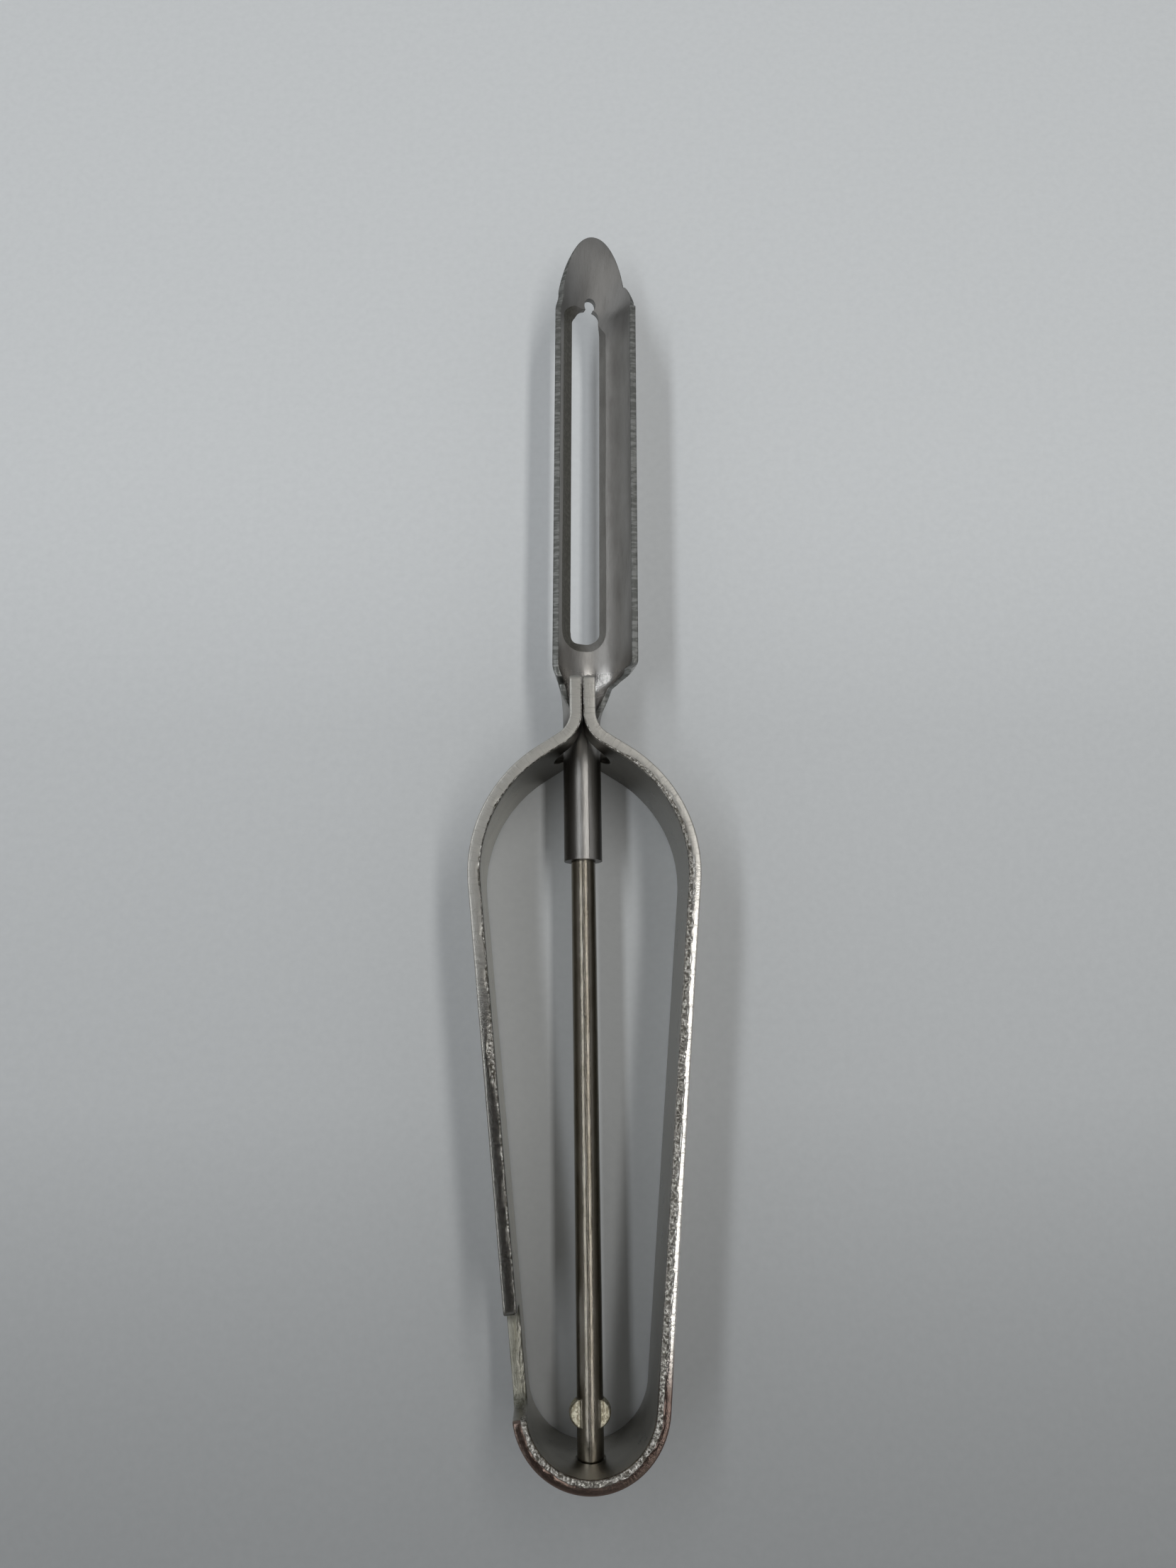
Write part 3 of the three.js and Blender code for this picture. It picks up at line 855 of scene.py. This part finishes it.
def handle_material():
    m = Nodes("worn_nickel")
    at, (s, z, h) = m.dev()
    torn, _ = m.mark()
    place = m.math("DIVIDE", m.math("ADD", s, RAMP_REACH), 2 * RAMP_REACH)
    edge = m.math("MAXIMUM", m.span(z, 15.25, 15.5), m.span(z, 0.65, 0.4))
    n0, n1 = s_at_leg(NOTCH_FROM), s_at_leg(NOTCH_TO)
    notch = m.math("MULTIPLY", m.span(s, -n1 - 0.2, -n1 + 0.2), m.span(s, -n0 + 0.2, -n0 - 0.2))
    notch = m.math("MULTIPLY", notch, m.span(z, WIDTH - NOTCH_DEPTH - 0.35, WIDTH - NOTCH_DEPTH - 0.15))
    cloud = m.noise(at, 0.30, 4, 0.6)
    speck = m.noise(at, 4.5, 4, 0.65)
    fine = m.noise(at, 9, 4, 0.7)
    crosswise = m.noise(at, 2.6, 4, 0.7, (1.0, 0.12, 0.12))
    lengthwise = m.noise(at, 2.4, 4, 0.65, (0.10, 1.0, 1.0))
    # Wide faces: dull nickel in warm grey clouds; on the inner faces of the loop, painted light brightens
    # the left leg and painted shade darkens the base and the right side.
    plate = m.ramp(cloud, NICKEL)
    inner = m.span(h, -0.3, -0.7)
    inner_light_and_shade = m.mix(m.span(s, -40.0, 10.0), (1.32, 1.32, 1.28), (0.80, 0.80, 0.78))
    plate = m.mix(inner, plate, m.mix(1.0, plate, inner_light_and_shade, "MULTIPLY"))
    # Grime and painted shade darken the inner faces inside the fork, round the tube.
    reach = m.math("ABSOLUTE", s)
    grime_and_shade = m.math("MULTIPLY", m.span(reach, FORK_GRIME_AND_SHADE_FROM, FORK_GRIME_AND_SHADE_TO), m.span(h, 0.5, -0.2))
    plate = m.mix(m.math("MULTIPLY", grime_and_shade, 0.85), plate, (0.13, 0.12, 0.10))
    spots = m.span(speck, 0.62, 0.72)
    plate = m.mix(m.math("MULTIPLY", spots, 0.5), plate, (0.13, 0.11, 0.09))
    # Burnished part of the edge, with the painted reflections of its colour ramp.
    shiny = m.ramp(place, EDGE_COLOUR_AND_REFLECTIONS)
    shiny = m.mix(m.math("MULTIPLY", m.span(crosswise, 0.50, 0.72), 0.45), shiny, (0.16, 0.15, 0.13))
    shiny = m.mix(m.math("MULTIPLY", m.span(fine, 0.60, 0.70), 0.4), shiny, (0.10, 0.09, 0.075))
    base = m.mix(edge, plate, shiny)
    # Torn part: bright crumbs in dark pits, painted glints and painted shade over the torn steel's grey.
    lumps = m.noise(at, 3.0, 4, 0.65)
    crumbs = m.ramp(lumps, TORN_STEEL_GLINTS_AND_SHADE)
    base = m.mix(torn, base, crumbs)
    cut = m.ramp(lengthwise, NOTCH_FLOOR)
    base = m.mix(notch, base, cut)
    m.link(base, m.bsdf.inputs["Base Color"])
    rough = m.math("ADD", m.math("MULTIPLY", m.span(cloud, 0.3, 0.7), 0.08), 0.27)
    rough = m.math("ADD", rough, m.math("MULTIPLY", spots, 0.2))
    streaks = m.math("MULTIPLY", m.span(crosswise, 0.45, 0.75), 0.12)
    level = m.math("ADD", m.ramp(place, EDGE_ROUGHNESS), streaks)
    rough = m.mix(edge, rough, level)
    rough = m.mix(torn, rough, (0.26, 0.26, 0.26))
    rough = m.mix(notch, rough, (0.38, 0.38, 0.38))
    m.link(rough, m.bsdf.inputs["Roughness"])
    m.bsdf.inputs["Metallic"].default_value = 1.0
    b = m.bump(speck, 0.00005, 0.5)
    b = m.bump(m.math("MULTIPLY", crosswise, edge), 0.00006, 0.5, b)
    b = m.bump(m.math("MULTIPLY", lengthwise, notch), 0.00010, 0.6, b)
    b = m.bump(m.math("MULTIPLY", lumps, torn), 0.00026, 0.9, b)
    m.link(b, m.bsdf.inputs["Normal"])
    return m.mat


def blade_material():
    m = Nodes("satin_steel")
    at, (w, y, _) = m.dev()
    ground, rim = m.mark()
    cloud = m.noise(at, 0.22, 4, 0.6, (1.6, 0.5, 1))
    grain = m.noise(at, 4.0, 4, 0.65, (2.5, 0.10, 1))
    speck = m.noise(at, 6.5, 3, 0.6)
    chatter = m.noise(at, 2.2, 3, 0.6, (1.0, 0.9, 1))
    nicks = m.noise(at, 1.6, 3, 0.6, (0.5, 1.2, 0.3))
    base = m.ramp(cloud, SATIN_STEEL)
    base = m.mix(m.math("MULTIPLY", m.span(grain, 0.55, 0.75), 0.35), base, (0.17, 0.16, 0.145))
    base = m.mix(m.math("MULTIPLY", m.span(speck, 0.66, 0.74), 0.5), base, (0.10, 0.09, 0.075))
    # The tube is darker down its sides: grime where fingers don't rub it, and painted shade between the
    # handle's ears.
    side = m.math("MULTIPLY", m.span(w, -6.3, -4.9), m.span(w, 6.2, 5.2))
    side = m.math("MULTIPLY", side, m.span(y, NECK_FROM + 2.0, NECK_FROM - 1.0))
    base = m.mix(m.math("MULTIPLY", side, 0.85), base, (0.045, 0.04, 0.035))
    # Painted shade darkens the tip, which is also made duller below.
    tip = m.span(y, TIP_FROM - 5.4, TIP_FROM + 0.6)
    base = m.mix(tip, base, m.mix(1.0, base, (0.76, 0.77, 0.78), "MULTIPLY"))
    # The ground bevel is dark grey: its ground finish, and painted shade where it is marked most, on the
    # left.
    base = m.mix(ground, base, m.mix(m.span(chatter, 0.4, 0.65), (0.17, 0.165, 0.145), (0.225, 0.22, 0.195)))
    base = m.mix(rim, base, m.mix(m.span(nicks, 0.42, 0.62), (0.18, 0.185, 0.175), (0.32, 0.325, 0.315)))
    m.link(base, m.bsdf.inputs["Base Color"])
    # The tube is smooth, the dished neck is polished and the open blade is dull.
    dull = m.span(y, DENT_Y + 0.5, DENT_Y + 3.2, 0.12, 0.37)
    dull = m.math("ADD", dull, m.span(y, DENT_Y - 1.2, DENT_Y - 3.2, 0.0, 0.13))
    rough = m.math("ADD", m.math("MULTIPLY", cloud, 0.12), dull)
    rough = m.math("ADD", rough, m.math("MULTIPLY", grain, 0.08))
    rough = m.math("ADD", rough, m.math("MULTIPLY", rim, 0.12))
    rough = m.math("ADD", rough, m.math("MULTIPLY", tip, 0.10))
    m.link(m.math("ADD", rough, m.math("MULTIPLY", ground, 0.05)), m.bsdf.inputs["Roughness"])
    m.bsdf.inputs["Metallic"].default_value = 1.0
    b = m.bump(grain, 0.00003, 0.5)
    b = m.bump(m.noise(at, 1.2, 3, 0.6), 0.00008, 0.35, b)
    b = m.bump(m.math("MULTIPLY", chatter, m.math("ADD", rim, ground)), 0.00010, 0.5, b)
    m.link(b, m.bsdf.inputs["Normal"])
    return m.mat


def rod_material():
    m = Nodes("tarnished_wire")
    at, (_, _, h) = m.dev()
    ear = m.span(h, 0.05, 0.2)
    cloud = m.noise(at, 0.5, 4, 0.6, (1, 0.3, 1))
    grain = m.noise(at, 5.0, 4, 0.65, (2.2, 0.10, 1))
    pits = m.noise(at, 7.0, 3, 0.6)
    base = m.ramp(cloud, DRAWN_WIRE)
    base = m.mix(m.math("MULTIPLY", m.span(pits, 0.60, 0.72), 0.6), base, (0.07, 0.06, 0.045))
    base = m.mix(m.math("MULTIPLY", m.span(grain, 0.55, 0.75), 0.4), base, (0.11, 0.10, 0.08))
    scratch = m.noise(at, 2.6, 4, 0.7, (1.6, 0.8, 1))
    ground = m.mix(m.span(scratch, 0.40, 0.60), (0.90, 0.86, 0.70), (0.42, 0.37, 0.26))
    base = m.mix(ear, base, ground)
    m.link(base, m.bsdf.inputs["Base Color"])
    rough = m.math("ADD", m.math("MULTIPLY", cloud, 0.05), 0.05)
    rough = m.math("ADD", rough, m.math("MULTIPLY", ear, 0.26))
    m.link(rough, m.bsdf.inputs["Roughness"])
    m.bsdf.inputs["Metallic"].default_value = 1.0
    b = m.bump(grain, 0.00003, 0.4)
    b = m.bump(pits, 0.00004, 0.4, b)
    b = m.bump(m.math("MULTIPLY", scratch, ear), 0.00012, 0.6, b)
    m.link(b, m.bsdf.inputs["Normal"])
    return m.mat


handle.data.materials.append(handle_material())
blade.data.materials.append(blade_material())
rod.data.materials.append(rod_material())

for piece, body, node in (
    (handle, "handle", "handle_strip"),
    (blade, "blade_and_rod", "blade"),
    (rod, "blade_and_rod", "pivot_rod"),
):
    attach(piece, body)
    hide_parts(node)

# ---------------------------------------------------------------- stage

FLOOR_HALF = 3.0
FLOOR_GAP = 0.00002  # keeps the table clear of the strip that lies on it
SHADE_SPAN = (-0.115, 0.06)  # metres along the tool
TABLE_SHADE = ((0.0, 0.37), (0.02, 0.45), (0.377, 0.75), (0.81, 0.86), (1.0, 1.0))


def floor_mesh():
    mesh = bpy.data.meshes.new("floor")
    f = FLOOR_HALF
    z = -FLOOR_GAP
    mesh.from_pydata([(-f, -f, z), (f, -f, z), (f, f, z), (-f, f, z)], [], [(0, 1, 2, 3)])
    obj = bpy.data.objects.new("floor", mesh)
    bpy.context.scene.collection.objects.link(obj)
    m = Nodes("pale_table")
    where = m.add("ShaderNodeTexCoord").outputs["Object"]
    tint = m.ramp(m.noise(where, 900, 3, 0.6), [(0.3, (0.90, 0.93, 0.95)), (0.7, (0.94, 0.97, 0.99))])
    # The table falls into shade towards the handle's end.
    sides = m.add("ShaderNodeSeparateXYZ")
    m.link(where, sides.inputs[0])
    along = m.span(sides.outputs[1], *SHADE_SPAN)
    shade = m.ramp(along, [(at, (c, c, c * 0.995)) for at, c in TABLE_SHADE])
    m.link(m.mix(1.0, tint, shade, "MULTIPLY"), m.bsdf.inputs["Base Color"])
    m.bsdf.inputs["Roughness"].default_value = 0.6
    m.bsdf.inputs["Specular IOR Level"].default_value = 0.3
    mesh.materials.append(m.mat)
    return obj


floor_mesh()


# Two long soft strips hang to the sides, their angles measured from straight up.
STRIP_DISTANCE, STRIP_ALONG, STRIP_WIDTH, STRIP_LENGTH = 0.62, 0.05, 0.055, 0.70
STRIP_AIM_ALONG = 0.02


def strip_light(name, zenith, energy, colour):
    data = bpy.data.lights.new(name, "AREA")
    data.shape = "RECTANGLE"
    data.size, data.size_y = STRIP_WIDTH, STRIP_LENGTH
    data.energy = energy
    data.color = colour
    obj = bpy.data.objects.new(name, data)
    a = math.radians(zenith)
    at = Vector((STRIP_DISTANCE * math.sin(a), STRIP_ALONG, STRIP_DISTANCE * math.cos(a)))
    obj.location = at
    # The light's long side lies along the tool.
    z = (at - Vector((0, STRIP_AIM_ALONG, 0))).normalized()
    x = Vector((0, 1, 0)).cross(z).normalized()
    y = z.cross(x)
    obj.rotation_euler = Matrix((x, y, z)).transposed().to_euler()
    obj.visible_camera = False
    bpy.context.scene.collection.objects.link(obj)


strip_light("right_strip", 19, 0.88, (1.0, 0.985, 0.96))
strip_light("left_strip", -26, 0.80, (0.94, 0.97, 1.0))

# The room is bright round the tool and dark straight above it, by the height that a ray points to.
SKY = (
    (0.0, (0.42, 0.43, 0.44)),
    (0.35, (0.44, 0.45, 0.46)),
    (0.70, (0.42, 0.42, 0.42)),
    (0.85, (0.20, 0.20, 0.20)),
    (0.93, (0.066, 0.062, 0.058)),
    (1.0, (0.042, 0.039, 0.035)),
)
SKY_STRENGTH = 0.74


def studio_world():
    world = bpy.data.worlds.new("studio")
    world.use_nodes = True
    tree = world.node_tree
    background = tree.nodes["Background"]
    direction = tree.nodes.new("ShaderNodeTexCoord")
    parts = tree.nodes.new("ShaderNodeSeparateXYZ")
    tree.links.new(direction.outputs["Generated"], parts.inputs[0])
    sky = tree.nodes.new("ShaderNodeValToRGB")
    stops = sky.color_ramp.elements
    for stop, (position, colour) in zip(stops, (SKY[0], SKY[-1])):
        stop.position, stop.color = position, (*colour, 1)
    for position, colour in SKY[1:-1]:
        stops.new(position).color = (*colour, 1)
    tree.links.new(parts.outputs[2], sky.inputs[0])
    tree.links.new(sky.outputs[0], background.inputs["Color"])
    background.inputs["Strength"].default_value = SKY_STRENGTH
    return world


bpy.context.scene.world = studio_world()

LENS, SENSOR = 27.03, 36
CAMERA_AT = (-0.003787, -0.035727, 0.169486)
CAMERA_TURN = (12.839, -1.455, -0.760)  # degrees about X, Y and Z

cam = bpy.data.cameras.new("camera")
cam.lens = LENS
cam.sensor_width = SENSOR
cam.sensor_fit = "AUTO"
cam.clip_start = 0.01
cam.clip_end = 20
cam_obj = bpy.data.objects.new("camera", cam)
cam_obj.location = CAMERA_AT
cam_obj.rotation_euler = tuple(math.radians(a) for a in CAMERA_TURN)
bpy.context.scene.collection.objects.link(cam_obj)
bpy.context.scene.camera = cam_obj
bpy.context.scene.view_settings.view_transform = "Standard"
